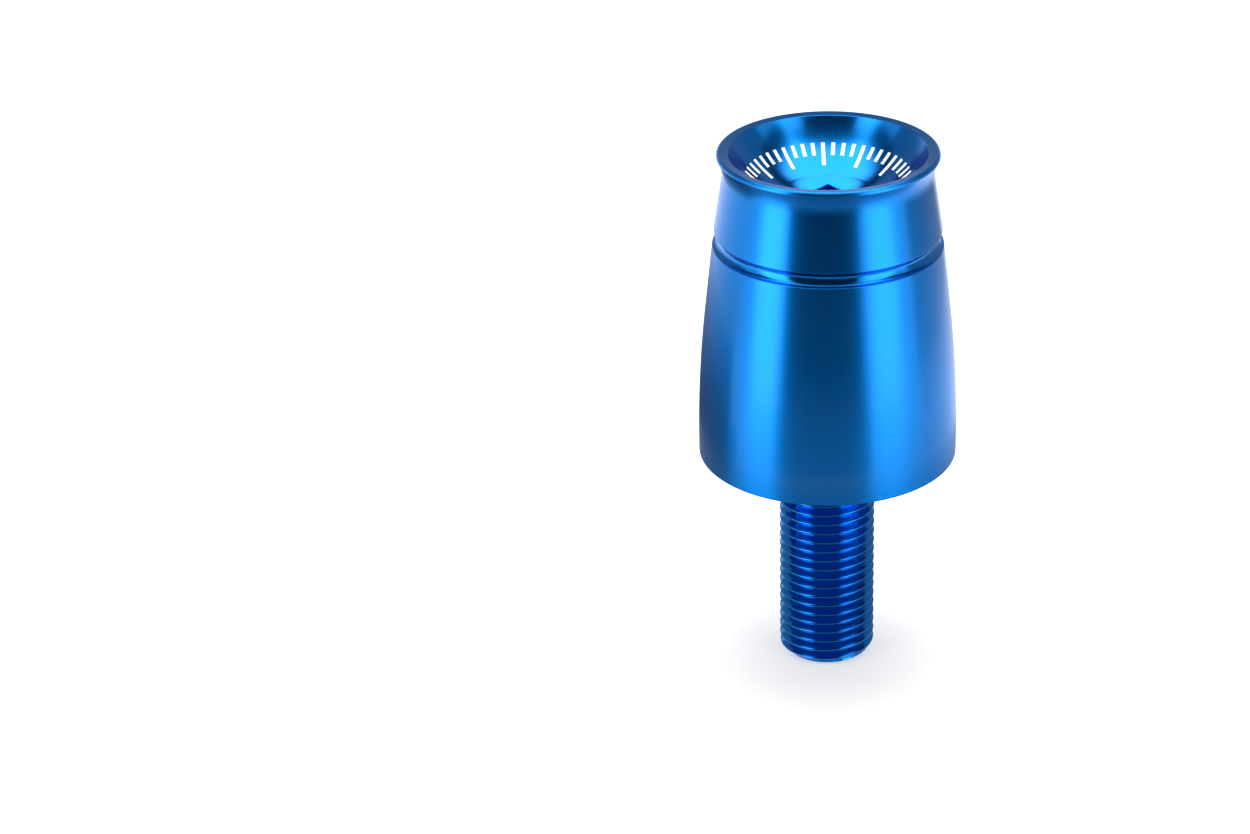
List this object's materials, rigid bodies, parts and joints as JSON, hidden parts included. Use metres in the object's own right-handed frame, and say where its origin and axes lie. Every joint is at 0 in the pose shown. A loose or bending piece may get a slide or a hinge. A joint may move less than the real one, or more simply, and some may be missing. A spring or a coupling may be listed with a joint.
{
  "type": "bar end weight",
  "caption": "Turned bar end weight with a bulged barrel, grooved neck, flared rim, bowl with a hexagon socket, and a threaded stud.",
  "frame": {"origin": "centre of the flat seat face, where the threaded stud leaves the body", "axes": "+Z along the turning axis, from the stud to the flared rim; two corners of the hexagon socket lie on the Y axis"},
  "size_m": [0.0375, 0.0374, 0.0796],
  "materials": {
    "anodised_aluminium": "blue anodised, satin, with fine turning marks"
  },
  "bodies": {
    "root": {"bar_end_weight": "anodised_aluminium"}
  },
  "joints": []
}
